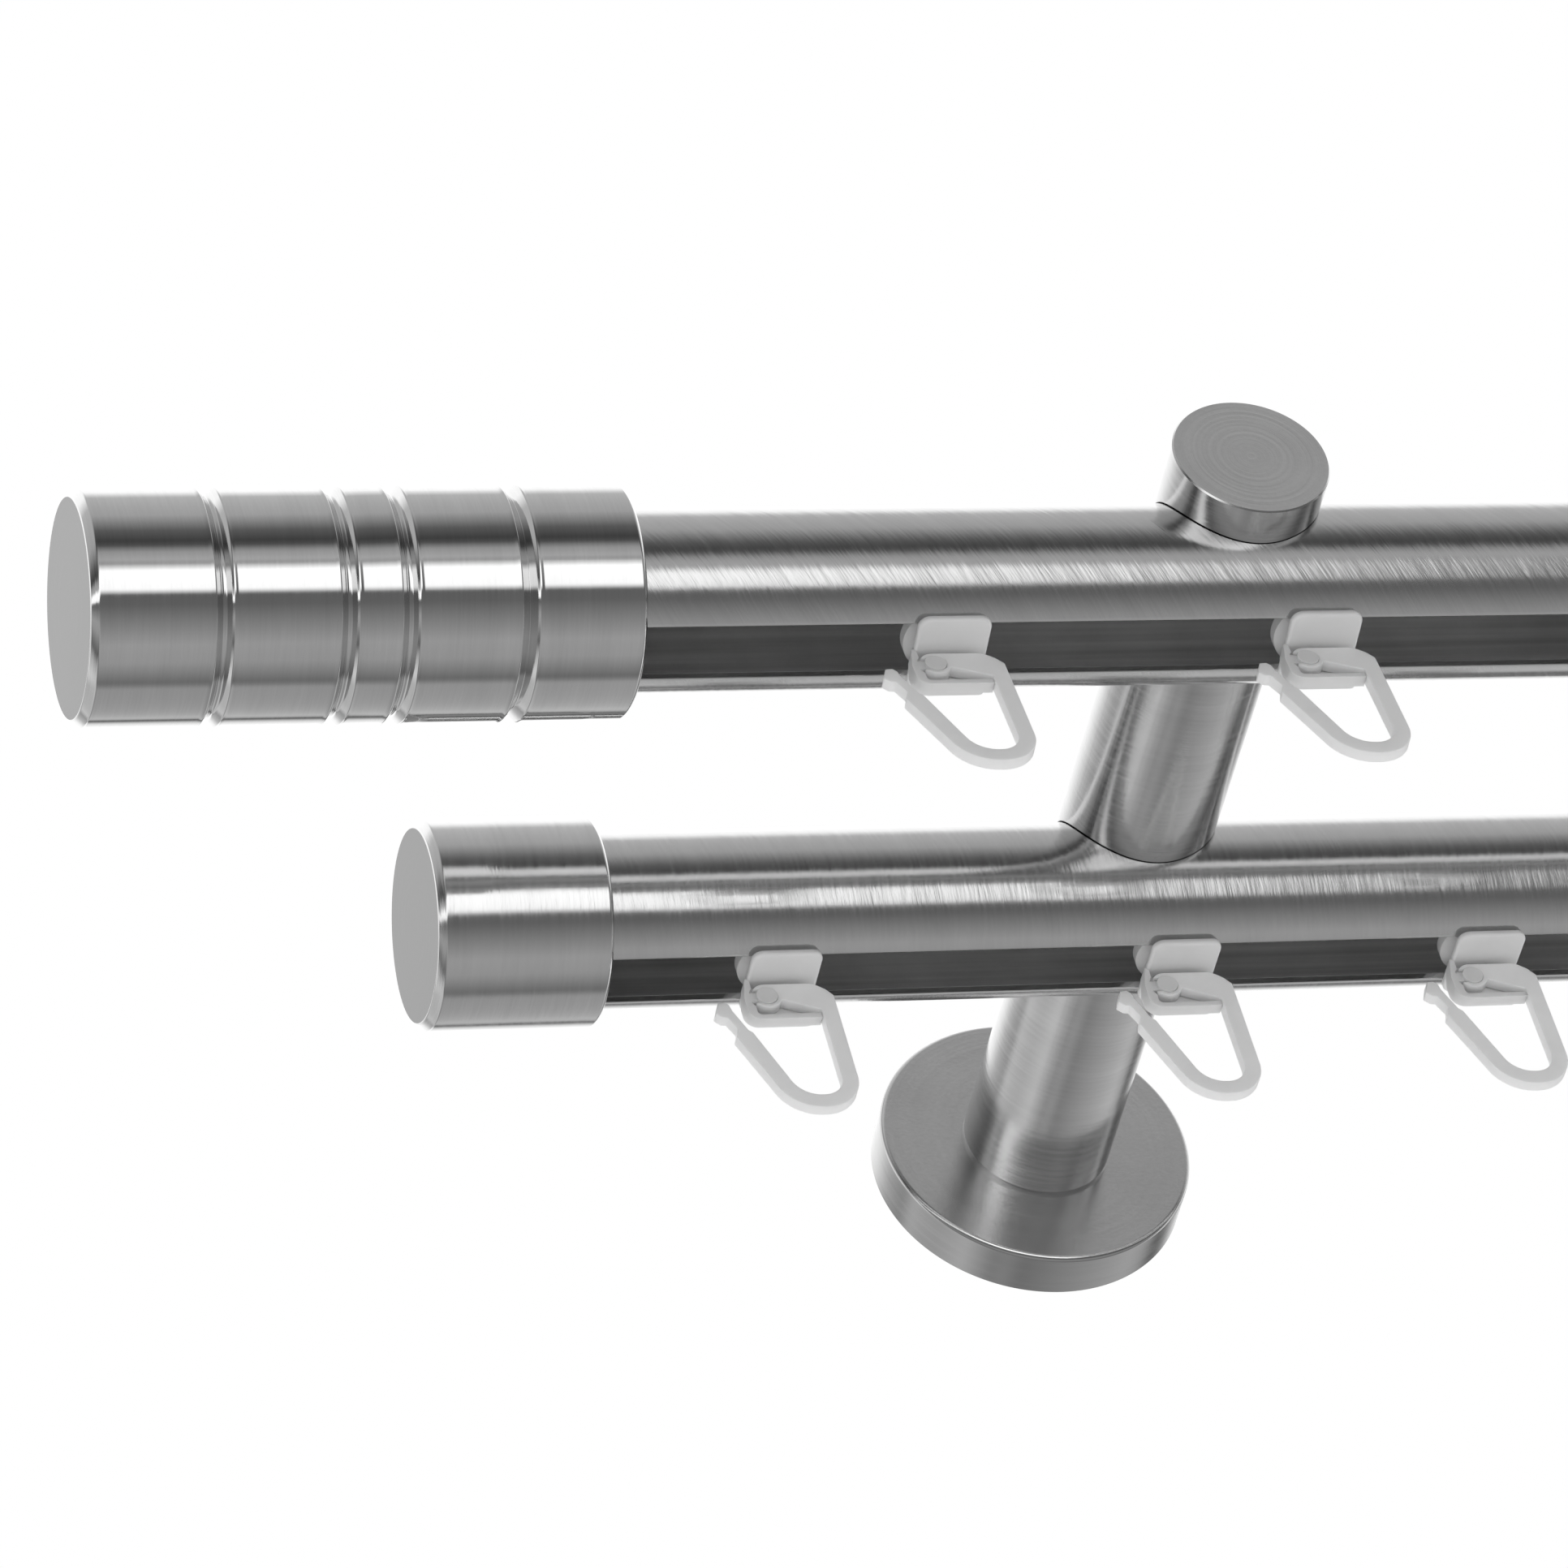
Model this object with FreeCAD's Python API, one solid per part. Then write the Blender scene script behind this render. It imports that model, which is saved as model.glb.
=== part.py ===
import FreeCAD, Part
import math
import os

# Double curtain pole with inside tracks, on two wall brackets, all lengths in millimetres.
# X runs along the poles, Y points into the wall, Z is up.
# The origin lies on the wall, halfway between the brackets, at the height of the arms' axis.

# Poles: round tubes with a slot along the underside
tube_radius = 10.0
tube_wall = 1.0
slot_width = 6.8
front_overhang = 95.0
rear_overhang = 81.0
front_turn = -7.0

# Brackets: a round arm on a wall rosette, with a milled seat for each pole
bracket_spacing = 1010.0
arm_radius = 8.9
rear_reach = 53.0
pole_pitch = 50.0
arm_nose = 14.5
seat_drop = 6.5
seat_clearance = 0.05
arm_edge = 0.3
rosette_radius = 19.0
rosette_thickness = 6.0
rosette_edge = 0.6
recess_radius = 15.0
recess_depth = 1.5

# Wall stud: one thread in the arm, a neck in the rosette's recess, one thread for a wall anchor
stud_radius = 4.0
stud_clearance = 0.05
stud_in_arm = 16.0
stud_in_wall = 13.0
stud_edge = 0.8
stud_neck_radius = 3.4
stud_key = 4.0
stud_socket = 4.0

# End pieces that slip over the tube ends
finial_radius = 12.8
finial_length = 60.0
finial_sleeve = 24.5
finial_edge = 0.9
groove_places = (14.2, 27.6, 34.2, 47.2)
groove_depth = 1.0
cap_radius = 11.95
cap_length = 20.0
cap_sleeve = 16.0
cap_edge = 0.9
back_edge = 0.4
sleeve_clearance = 0.1
end_gap = 0.3

# Socket set screws
seat_screw_radius = 2.5
seat_screw_sunk = 0.5
seat_screw_key = 2.5
end_screw_radius = 2.0
end_screw_length = 1.7
end_screw_key = 2.0
end_screw_inset = 7.0
screw_clearance = 0.05
socket_share = 0.5

# Runners: a round head in the track, a neck through the slot, a flange below the lips
track_clearance = 0.35
head_radius = 4.2
head_height = 1.8
head_edge = 0.5
neck_clearance = 0.5
lip_clearance = 0.35
flange_left = 3.8
flange_right = 4.5
flange_width = 9.6
flange_thickness = 0.7
flange_corner = 1.3
flange_edge = 0.35

# Cradle below the flange that carries the hook on a boss
pivot_offset = -2.1
pivot_below_tube = 2.95
boss_radius = 1.2
boss_proud = 0.1
web_clearance = 0.1
web_thickness = 0.8
web_reach = 5.2
cradle_setback = 0.25
post_outer = 2.6
post_inner = 1.5
bar_thickness = 0.7
bar_below_pivot = 3.3
rib_height = 1.4
cradle_corner = 1.6
stop_clearance = 0.05

# Hooks: flat mouldings with a clip at the boss and an open loop for the curtain tape
hook_front = 0.85
hook_thickness = 1.4
hook_band = 1.9
clip_clearance = 0.05
clip_wall = 0.5
clip_mouth = 2.0
clip_gap = 0.25
leg_inner = 5.9
loop_depth = 15.1
shoulder_drop = 0.2
shoulder_rise = 0.8
strut_top = 1.7
strut_end = 5.7
arm_slope = 0.38
arm_start = (0.9, -0.4)
free_arm_lean = 20.9
free_arm_top = (-2.8, -5.5)
loop_round_leg = 2.5
loop_round_arm = 3.3

# Barbed tip of the free arm, as steps right and up from the top of its inner edge
tip_steps = (
    (-0.45, 0.4),
    (-1.7, 3.4),
    (-1.85, 4.2),
    (-2.3, 4.7),
    (-3.1, 4.6),
    (-3.7, 3.0),
    (-3.0, 2.35),
    (-2.45, 2.3),
    (-1.65, 0.6),
    (-2.05, -0.6),
)

# Runner places from the nearer bracket, towards the middle of the pole
front_runner_places = (-36.3, 6.4, 51.0, 94.0)
rear_runner_places = (-45.2, 2.3, 39.6, 81.0)

X = FreeCAD.Vector(1, 0, 0)
Y = FreeCAD.Vector(0, 1, 0)
Z = FreeCAD.Vector(0, 0, 1)

# Places that follow from the sizes
bracket_x = bracket_spacing / 2
rear_y = -rear_reach
front_y = rear_y - pole_pitch
arm_tip_y = front_y - arm_nose
pole_z = -seat_drop
bore_radius = tube_radius - tube_wall


def at(x, y, z):
    return FreeCAD.Vector(x, y, z)


def rod(radius, start, direction, length):
    return Part.makeCylinder(radius, length, start, direction)


def block(low, high):
    size = high - low
    return Part.makeBox(size.x, size.y, size.z, low)


def turned(profile, start, direction):
    """Solid of revolution from (distance along, radius) pairs, starting at start along direction."""
    points = [at(radius, 0, along) for along, radius in profile]
    points = [at(0, 0, profile[0][0])] + points + [at(0, 0, profile[-1][0])]
    solid = Part.Face(Part.makePolygon(points + [points[0]])).revolve(at(0, 0, 0), Z, 360)
    solid.Placement = FreeCAD.Placement(start, FreeCAD.Rotation(Z, direction))
    return solid


def rounded_plate(corners, front, back):
    """Plate between two Y planes. Each corner is (x, z) or (x, z, rounding radius)."""
    edges = []
    ends = []
    count = len(corners)
    for index in range(count):
        here = at(corners[index][0], 0, corners[index][1])
        before = at(corners[index - 1][0], 0, corners[index - 1][1])
        after = at(corners[(index + 1) % count][0], 0, corners[(index + 1) % count][1])
        radius = corners[index][2] if len(corners[index]) > 2 else 0
        if radius <= 0:
            ends.append((here, None, here))
            continue
        back_way = (before - here).normalize()
        next_way = (after - here).normalize()
        half = back_way.getAngle(next_way) / 2
        reach = radius / math.tan(half)
        middle = (back_way + next_way).normalize() * (radius / math.sin(half) - radius)
        ends.append((here + back_way * reach, here + middle, here + next_way * reach))
    for index in range(count):
        first, mid, last = ends[index]
        if mid is not None:
            edges.append(Part.Arc(first, mid, last).toShape())
        following = ends[(index + 1) % count][0]
        if (following - last).Length > 1e-6:
            edges.append(Part.LineSegment(last, following).toShape())
    plate = Part.Face(Part.Wire(edges)).extrude(at(0, back - front, 0))
    plate.translate(at(0, front, 0))
    return plate


def hexagon_socket(key, start, direction, depth):
    circle = key / 2 / math.cos(math.pi / 6)
    points = [at(circle * math.cos(math.pi / 3 * k), circle * math.sin(math.pi / 3 * k), 0) for k in range(7)]
    socket = Part.Face(Part.makePolygon(points)).extrude(Z * depth)
    socket.Placement = FreeCAD.Placement(start, FreeCAD.Rotation(Z, direction))
    return socket


def set_screw(radius, length, key, head, way_in):
    """Set screw whose outer end is at head and which points along way_in."""
    body = rod(radius, head, way_in, length)
    return body.cut(hexagon_socket(key, head, way_in, length * socket_share))


# Poles
def pole(y, overhang, turn):
    length = bracket_spacing + 2 * overhang
    start = at(-length / 2, y, pole_z)
    tube = rod(tube_radius, start, X, length).cut(rod(bore_radius, start, X, length))
    slot = block(at(-length / 2, y - slot_width / 2, pole_z - tube_radius - 1),
                 at(length / 2, y + slot_width / 2, pole_z))
    slot.rotate(start, X, turn)
    return tube.cut(slot)


# Brackets
def arm(x):
    base = -rosette_thickness
    length = base - arm_tip_y
    body = turned([
        (0, arm_radius - arm_edge),
        (arm_edge, arm_radius),
        (length - arm_edge, arm_radius),
        (length, arm_radius - arm_edge),
    ], at(x, base, 0), -Y)
    for y in (rear_y, front_y):
        seat = rod(tube_radius + seat_clearance, at(x - 2 * arm_radius, y, pole_z), X, 4 * arm_radius)
        body = body.cut(seat)
        body = body.cut(rod(seat_screw_radius + screw_clearance, at(x, y, pole_z), Z, 2 * arm_radius + seat_drop))
    hole_depth = stud_in_arm + stud_edge
    return body.cut(rod(stud_radius + stud_clearance, at(x, base, 0), -Y, hole_depth))


def rosette(x):
    front = -rosette_thickness
    disc = rod(rosette_radius, at(x, 0, 0), -Y, rosette_thickness)
    rim = [edge for edge in disc.Edges if abs(edge.CenterOfMass.y - front) < 0.01]
    disc = disc.makeFillet(rosette_edge, rim)
    disc = disc.cut(rod(recess_radius, at(x, 0, 0), -Y, recess_depth))
    return disc.cut(rod(stud_radius + stud_clearance, at(x, 0, 0), -Y, rosette_thickness))


def wall_stud(x):
    start = -(rosette_thickness + stud_in_arm)
    neck = -start - recess_depth
    total = stud_in_wall - start
    profile = [
        (0, stud_radius - stud_edge),
        (stud_edge, stud_radius),
        (neck, stud_radius),
        (neck, stud_neck_radius),
        (neck + recess_depth, stud_neck_radius),
        (neck + recess_depth, stud_radius),
        (total - stud_edge, stud_radius),
        (total, stud_radius - stud_edge),
    ]
    stud = turned(profile, at(x, start, 0), Y)
    return stud.cut(hexagon_socket(stud_key, at(x, stud_in_wall, 0), -Y, stud_socket))


# End pieces, drawn for the left end and turned round for the right
def end_piece(radius, length, sleeve, edge, grooves):
    """Profile runs from the outer face at 0 to the open end at length."""
    profile = [(0, radius - edge), (edge, radius)]
    for place in grooves:
        profile += [(place - groove_depth, radius), (place, radius - groove_depth), (place + groove_depth, radius)]
    profile += [(length - back_edge, radius), (length, radius - back_edge)]
    body = turned(profile, at(0, 0, 0), X)
    bore = rod(tube_radius + sleeve_clearance, at(length - sleeve, 0, 0), X, sleeve)
    screw_hole = rod(end_screw_radius + screw_clearance, at(length - end_screw_inset, 0, 0), Z, radius)
    return body.cut(bore).cut(screw_hole)


def end_screw(overhang, y, sleeve, side):
    face_x = bracket_x + overhang + end_gap - sleeve
    head = at(side * (face_x + end_screw_inset), y, pole_z + tube_radius + end_screw_length)
    return set_screw(end_screw_radius, end_screw_length, end_screw_key, head, -Z)


def placed_end(piece, length, overhang, sleeve, y, side):
    """The open end lies a sleeve's length inboard of the tube end, plus the gap at the bore's floor."""
    face_x = bracket_x + overhang + end_gap - sleeve
    result = piece.copy()
    result.translate(at(-face_x - length, 0, 0))
    if side > 0:
        result.rotate(at(0, 0, 0), Z, 180)
    result.translate(at(0, y, pole_z))
    return result


# Runner, drawn with the tube's axis at the origin and the flange centred on X = 0
lip_z = -math.sqrt(tube_radius ** 2 - (slot_width / 2) ** 2)
flange_top = lip_z - lip_clearance
flange_low = flange_top - flange_thickness
pivot_x = pivot_offset
pivot_z = -tube_radius - pivot_below_tube
hook_back = hook_thickness - hook_front
web_front = hook_back + web_clearance
web_back = web_front + web_thickness


def runner():
    rim_z = -math.sqrt(bore_radius ** 2 - head_radius ** 2) + track_clearance
    neck_radius = slot_width / 2 - neck_clearance
    foot_z = -math.sqrt(bore_radius ** 2 - neck_radius ** 2) + track_clearance
    profile = [
        (foot_z, neck_radius),
        (rim_z, head_radius),
        (rim_z + head_height - head_edge, head_radius),
        (rim_z + head_height, head_radius - head_edge),
    ]
    head = turned(profile, at(0, 0, 0), Z)
    neck = rod(neck_radius, at(0, 0, flange_low + flange_thickness / 2), Z, foot_z - flange_low)
    flange = block(at(-flange_left, -flange_width / 2, flange_low), at(flange_right, flange_width / 2, flange_top))
    upright = [edge for edge in flange.Edges if abs(edge.tangentAt(edge.FirstParameter).z) > 0.9]
    flange = flange.makeFillet(flange_corner, upright)
    under = [edge for edge in flange.Edges if edge.BoundBox.ZMax < flange_low + 0.01]
    flange = flange.makeFillet(flange_edge, under)

    left = pivot_x - post_outer
    post_right = pivot_x - post_inner
    bar_low = pivot_z - bar_below_pivot
    bar_top = bar_low + bar_thickness
    bar_end = pivot_x + leg_inner - stop_clearance
    root_z = flange_low + flange_thickness / 2
    root_left = left + flange_corner / 2
    cradle_front = -hook_front + cradle_setback
    cradle = rounded_plate([
        (root_left, root_z),
        (left, pivot_z),
        (left, bar_low, cradle_corner),
        (bar_end, bar_low),
        (bar_end, bar_top),
        (post_right, bar_top, cradle_corner / 3),
        (post_right, root_z),
    ], cradle_front, web_front + web_clearance)
    clip_room = boss_radius + clip_clearance + clip_wall + clip_gap
    cradle = cradle.cut(rod(clip_room, at(pivot_x, cradle_front, pivot_z), Y, web_front - cradle_front))
    rib = block(at(left + flange_edge, cradle_front, pivot_z - rib_height / 2),
                at(pivot_x, web_front, pivot_z + rib_height / 2))
    web_right = pivot_x + web_reach
    web = rounded_plate([
        (root_left, root_z),
        (left, pivot_z),
        (left, bar_top - bar_thickness / 4, cradle_corner),
        (web_right, bar_top - bar_thickness / 4, bar_thickness),
        (web_right, root_z),
    ], web_front, web_back)
    boss = rod(boss_radius, at(pivot_x, -hook_front - boss_proud, pivot_z), Y, web_back + hook_front + boss_proud)
    return head.fuse([neck, flange, cradle, rib, web, boss]).removeSplitter()


# Hook, drawn round its pivot at the origin of X and Z
def hook():
    lean = math.tan(math.radians(free_arm_lean))
    leg_outer = leg_inner + hook_band
    floor = -loop_depth
    bottom = floor - hook_band
    side_step = hook_band / math.cos(math.radians(free_arm_lean))
    top_x, top_z = free_arm_top

    def inner_x(z):
        return top_x + (top_z - z) * lean

    tip = [(top_x + right, top_z + up) for right, up in tip_steps]
    outline = [
        (0, 0),
        (0, boss_radius + clip_clearance + clip_wall),
        (strut_end, strut_top, hook_band),
        (leg_outer - shoulder_rise, shoulder_rise, hook_band / 4),
        (leg_outer, -shoulder_drop, hook_band / 4),
        (leg_outer, bottom, loop_round_leg + hook_band),
        (inner_x(bottom) - side_step, bottom, loop_round_arm + hook_band),
    ]
    outline += list(reversed(tip)) + [
        (top_x, top_z),
        (inner_x(floor), floor, loop_round_arm),
        (leg_inner, floor, loop_round_leg),
        (leg_inner, arm_start[1] - (leg_inner - arm_start[0]) * arm_slope, hook_band / 5),
        arm_start,
    ]
    body = rounded_plate(outline, -hook_front, hook_back)
    clip = rod(boss_radius + clip_clearance + clip_wall, at(0, -hook_front, 0), Y, hook_thickness)
    bore = rod(boss_radius + clip_clearance, at(0, -hook_front, 0), Y, hook_thickness)
    mouth = block(at(-3 * boss_radius, -hook_front, -clip_mouth / 2), at(0, hook_back, clip_mouth / 2))
    return body.fuse(clip).cut(bore).cut(mouth).removeSplitter()


def save(name, shape):
    shape.exportStep("parts/" + name + ".step")


def hung(shape, x, y, turn):
    """Copy of a piece drawn round the tube's axis, at its place on a pole."""
    copy = shape.copy()
    copy.rotate(at(0, 0, 0), X, turn)
    copy.translate(at(x, y, pole_z))
    return copy


def main():
    os.makedirs("parts", exist_ok=True)
    save("front_pole", pole(front_y, front_overhang, front_turn))
    save("rear_pole", pole(rear_y, rear_overhang, 0))

    finial = end_piece(finial_radius, finial_length, finial_sleeve, finial_edge, groove_places)
    cap = end_piece(cap_radius, cap_length, cap_sleeve, cap_edge, ())
    seat_screws = []
    end_screws = []
    for side, word in ((-1, "left"), (1, "right")):
        x = side * bracket_x
        save(word + "_arm", arm(x))
        save(word + "_rosette", rosette(x))
        save(word + "_wall_stud", wall_stud(x))
        save(word + "_finial", placed_end(finial, finial_length, front_overhang, finial_sleeve, front_y, side))
        save(word + "_end_cap", placed_end(cap, cap_length, rear_overhang, cap_sleeve, rear_y, side))
        end_screws.append(end_screw(front_overhang, front_y, finial_sleeve, side))
        end_screws.append(end_screw(rear_overhang, rear_y, cap_sleeve, side))
        for y in (rear_y, front_y):
            length = arm_radius - seat_screw_sunk - pole_z - tube_radius
            head = at(x, y, arm_radius - seat_screw_sunk)
            seat_screws.append(set_screw(seat_screw_radius, length, seat_screw_key, head, -Z))
    save("seat_screws", Part.makeCompound(seat_screws))
    save("end_screws", Part.makeCompound(end_screws))

    one_runner = runner()
    one_hook = hook()
    one_hook.translate(at(pivot_x, 0, pivot_z))
    for word, y, turn, places in (("front", front_y, front_turn, front_runner_places),
                                  ("rear", rear_y, 0, rear_runner_places)):
        left_row = [-bracket_x + place for place in places]
        right_row = [bracket_x - place for place in reversed(places)]
        for number, x in enumerate(left_row + right_row, 1):
            save("%s_runner_%d" % (word, number), hung(one_runner, x, y, turn))
            save("%s_hook_%d" % (word, number), hung(one_hook, x, y, turn))


main()
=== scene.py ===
import math

import bmesh
import bpy
from bpy.props import FloatProperty, FloatVectorProperty, IntProperty, PointerProperty
from mathutils import Euler, Matrix, Vector


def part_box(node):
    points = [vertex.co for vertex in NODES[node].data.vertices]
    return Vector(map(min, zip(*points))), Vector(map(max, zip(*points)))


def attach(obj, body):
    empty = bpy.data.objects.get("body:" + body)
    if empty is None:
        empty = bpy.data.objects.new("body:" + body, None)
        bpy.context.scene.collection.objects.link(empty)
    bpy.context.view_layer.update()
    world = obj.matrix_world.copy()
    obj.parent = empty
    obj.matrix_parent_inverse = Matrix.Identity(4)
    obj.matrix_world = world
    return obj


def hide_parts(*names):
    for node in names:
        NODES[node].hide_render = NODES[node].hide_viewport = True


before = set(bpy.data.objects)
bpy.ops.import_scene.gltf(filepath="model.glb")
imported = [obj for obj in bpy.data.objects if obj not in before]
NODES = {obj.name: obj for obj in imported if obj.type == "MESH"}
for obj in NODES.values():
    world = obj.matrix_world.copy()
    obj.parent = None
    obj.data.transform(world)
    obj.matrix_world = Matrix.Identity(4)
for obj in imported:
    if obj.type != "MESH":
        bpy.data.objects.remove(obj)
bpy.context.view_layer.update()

bl_info = {
    "name": "Double curtain pole",
    "version": (1, 0, 0),
    "blender": (4, 5, 0),
    "location": "View3D > Sidebar > Curtain pole",
    "description": "Dresses a double curtain pole: steel tubes, turned ends, brackets, runners and hooks",
    "category": "Add Mesh",
}

ROOT = "curtain_pole"
SIDES = (("left", -1), ("right", 1))
MM = 0.001

# Distances in metres: vertices this near each other are one, this near a plane or a radius lie on it.
MERGE_GAP = 1e-7
MOULD_GAP = 2e-6
PLANE_GAP = 1e-6
RADIUS_GAP = 1e-5

# Angles in degrees: edges that turn by less than FLAT_ANGLE lie in a flat face, and edges that turn by more
# than one of the others are corners.
FLAT_ANGLE = 0.6
SOFT_ANGLE = 30.0
LIP_ANGLE = 40.0

UP = Vector((0, 0, 1))
WALLWARD = Vector((0, 1, 0))

# Turns that bring the X axis onto the line of a lathe.
ALONG_X = Euler((0, 0, 0))
AGAINST_X = Euler((0, 0, math.pi))
ALONG_Y = Euler((0, 0, math.pi / 2))
ALONG_Z = Euler((0, -math.pi / 2, 0))

# Middles of a finial's grooves, in millimetres from its outer face.
GROOVE_PLACES = (14.2, 27.6, 34.2, 47.2)

# One ridge of a stud's thread, with its height as a share of the pitch. Each corner lies at a share of the
# pitch along the stud and a share of the height out.
RIDGE_HEIGHT = 0.55
RIDGE_CORNERS = ((0.04, 0), (0.44, 1), (0.56, 1), (0.96, 0))

# Tool marks come in two sizes. These compare the broad ones with the fine ones.
BROAD_FINENESS = 0.12
BROAD_STREAK = 0.3
BROAD_DEPTH = 3

CAMERA_PLACE = Vector((-0.787572, -0.640228, -0.562775))
CAMERA_RIGHT = (0.958259, -0.188896, -0.214613)
CAMERA_UP = (0.019762, -0.705094, 0.708839)
CAMERA_FORWARD = (0.285219, 0.683492, 0.671929)

# The studio's light comes in bands, given as (degrees, grey). ACROSS_BANDS go round the X axis from +Y
# towards +Z and light all that faces away from the wall. ALONG_BANDS go round the Y axis from +X towards +Z
# and light the rest. The softbox is one more band round the X axis and fades out towards +X.
WORLD_STRENGTH = 1.5
ACROSS_BANDS = (
    (-180, 0.36), (-172, 0.2), (-150, 0.1), (-136, 0.11), (-118, 0.2), (-98, 0.3), (-80, 0.28),
    (-52, 0.1), (-41, 0.36), (-10, 0.8), (3, 0.95), (21, 0.42), (55, 0.95), (84, 0.9), (97, 0.42),
    (128, 0.33), (138, 0.21), (148, 0.095), (160, 0.045), (165, 0.07), (172, 0.28), (180, 0.36),
)
ALONG_BANDS = (
    (-180, 0.42), (-166, 0.4), (-154, 0.45), (-142, 0.52), (-120, 0.25), (-110, 0.29), (-98, 0.2),
    (-60, 0.31), (-14, 0.44), (0, 0.36), (14, 0.1), (24, 0.16), (44, 0.6), (70, 0.95), (112, 0.82),
    (136, 0.42), (157, 0.27), (168, 0.5), (180, 0.42),
)
SOFTBOX_BAND = ((-176, 0), (-169, 1), (-151, 1), (-146, 0))
SOFTBOX_LIGHT = (0.9, 0.9, 0.9, 1)
SOFTBOX_FADE = (0.29, 0.38)
WALL_FADE = (0.5, 0.66)


def length(label, about, value):
    """A property for a length, with its default in millimetres."""
    return FloatProperty(name=label, description=about, default=value * MM, min=0.0, precision=5,
                         unit="LENGTH", subtype="DISTANCE")


def share(label, about, value):
    """A property for a value from 0 to 1."""
    return FloatProperty(name=label, description=about, default=value, min=0.0, max=1.0, subtype="FACTOR")


def colour(label, about, value):
    """A property for an opaque colour."""
    return FloatVectorProperty(name=label, description=about, default=(*value, 1.0), size=4,
                               min=0.0, max=1.0, subtype="COLOR")


def count(label, about, value):
    """A property for the number of steps round a piece."""
    return IntProperty(name=label, description=about, default=value, min=12, max=360)


class PoleSettings(bpy.types.PropertyGroup):
    """Sizes and finish of the slotted tubes."""
    radius: length("Tube radius", "Outer radius of the tubes", 10.0)
    wall: length("Tube wall", "Thickness of the tube's wall", 1.0)
    slot: length("Slot width", "Width of the track's slot", 6.8)
    lip_round: length("Lip rounding", "Rounding of the slot's long edges", 0.2)
    front_turn: FloatProperty(name="Front turn", description="How far the front tube is turned in its seats",
                              default=math.radians(-7.0), unit="ROTATION", subtype="ANGLE")
    front_slant: share("Front slant", "Slant of the grinding marks on the front tube", 0.6)
    rear_slant: share("Rear slant", "Slant of the grinding marks on the rear tube", 0.12)
    steps: count("Steps", "Steps round a tube", 120)
    steel: colour("Tube steel", "Colour of the ground tube", (0.63, 0.63, 0.63))
    bore: colour("Inside steel", "Colour of the tube's dull inside", (0.55, 0.55, 0.55))
    roughness: share("Tube roughness", "Roughness of the ground tube", 0.15)


class EndSettings(bpy.types.PropertyGroup):
    """Sizes and finish of the finials and end caps."""
    edge: length("Outer chamfer", "Chamfer round the outer face", 0.9)
    inner_edge: length("Inner chamfer", "Chamfer round the open end", 0.42)
    soft: length("Edge softness", "Rounding of every turned edge", 0.14)
    groove: length("Groove depth", "Depth and half width of a finial's grooves", 1.0)
    valley: length("Groove floor", "Rounding of the floor of each groove", 0.55)
    burr: length("Burr height", "Height of the raised edges beside each groove", 0.16)
    burr_slope: length("Burr width", "Width of the raised edges beside each groove", 0.48)
    bore: length("Bore radius", "Radius of the bore that takes the tube", 10.1)
    sleeve_finial: length("Finial sleeve", "Depth of a finial's bore", 24.5)
    sleeve_cap: length("Cap sleeve", "Depth of an end cap's bore", 16.0)
    steps: count("Steps", "Steps round a turned end", 144)
    steel: colour("End steel", "Colour of the turned ends", (0.66, 0.66, 0.66))
    # The face steel is the end steel made darker: painted shade on the flat outer faces.
    face: colour("Face steel with painted shade", "Colour of the flat outer faces", (0.33, 0.33, 0.33))
    roughness: share("Finial roughness", "Roughness of the turned finials", 0.07)
    cap_roughness: share("Cap roughness", "Roughness of the duller end caps", 0.13)


class BracketSettings(bpy.types.PropertyGroup):
    """Sizes and finish of the arms and rosettes."""
    arm_edge: length("Arm edge", "Chamfer round the arm's nose", 0.16)
    arm_foot: length("Arm foot", "Chamfer round the arm's end on the rosette", 0.55)
    seat: length("Seat radius", "Radius of the milled seats", 10.14)
    screw_bore: length("Screw bore", "Radius of the threaded holes for the set screws", 2.55)
    stud_bore: length("Stud bore", "Radius of the holes for the wall stud", 4.05)
    stud_depth: length("Stud depth", "Depth of the hole in the arm's end", 16.8)
    recess: length("Recess radius", "Radius of the recess in the rosette's back", 15.0)
    recess_depth: length("Recess depth", "Depth of the recess in the rosette's back", 1.5)
    rim_round: length("Rim rounding", "Rounding of the rosette's front edge", 0.6)
    rim_depth: length("Rim depth", "How far in from its edge the rosette is turned instead of satin", 0.2)
    soft: length("Edge softness", "Rounding of the rosette's other edges", 0.15)
    steps: count("Arm steps", "Steps round an arm", 128)
    seat_steps: count("Seat steps", "Steps round a seat", 192)
    bore_steps: count("Bore steps", "Steps round a hole", 48)
    disc_steps: count("Rosette steps", "Steps round a rosette", 160)
    steel: colour("Arm steel", "Colour of the turned arms", (0.62, 0.62, 0.62))
    # The rosette steel is satin steel made paler than its own colour: painted light on the rosettes and the
    # arms' noses.
    satin: colour("Rosette steel with painted light", "Colour of the satin rosettes", (0.84, 0.84, 0.84))
    rim: colour("Rim steel", "Colour of the rosettes' turned rims", (0.48, 0.48, 0.48))
    roughness: share("Arm roughness", "Roughness of the turned arms and rims", 0.18)


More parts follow.
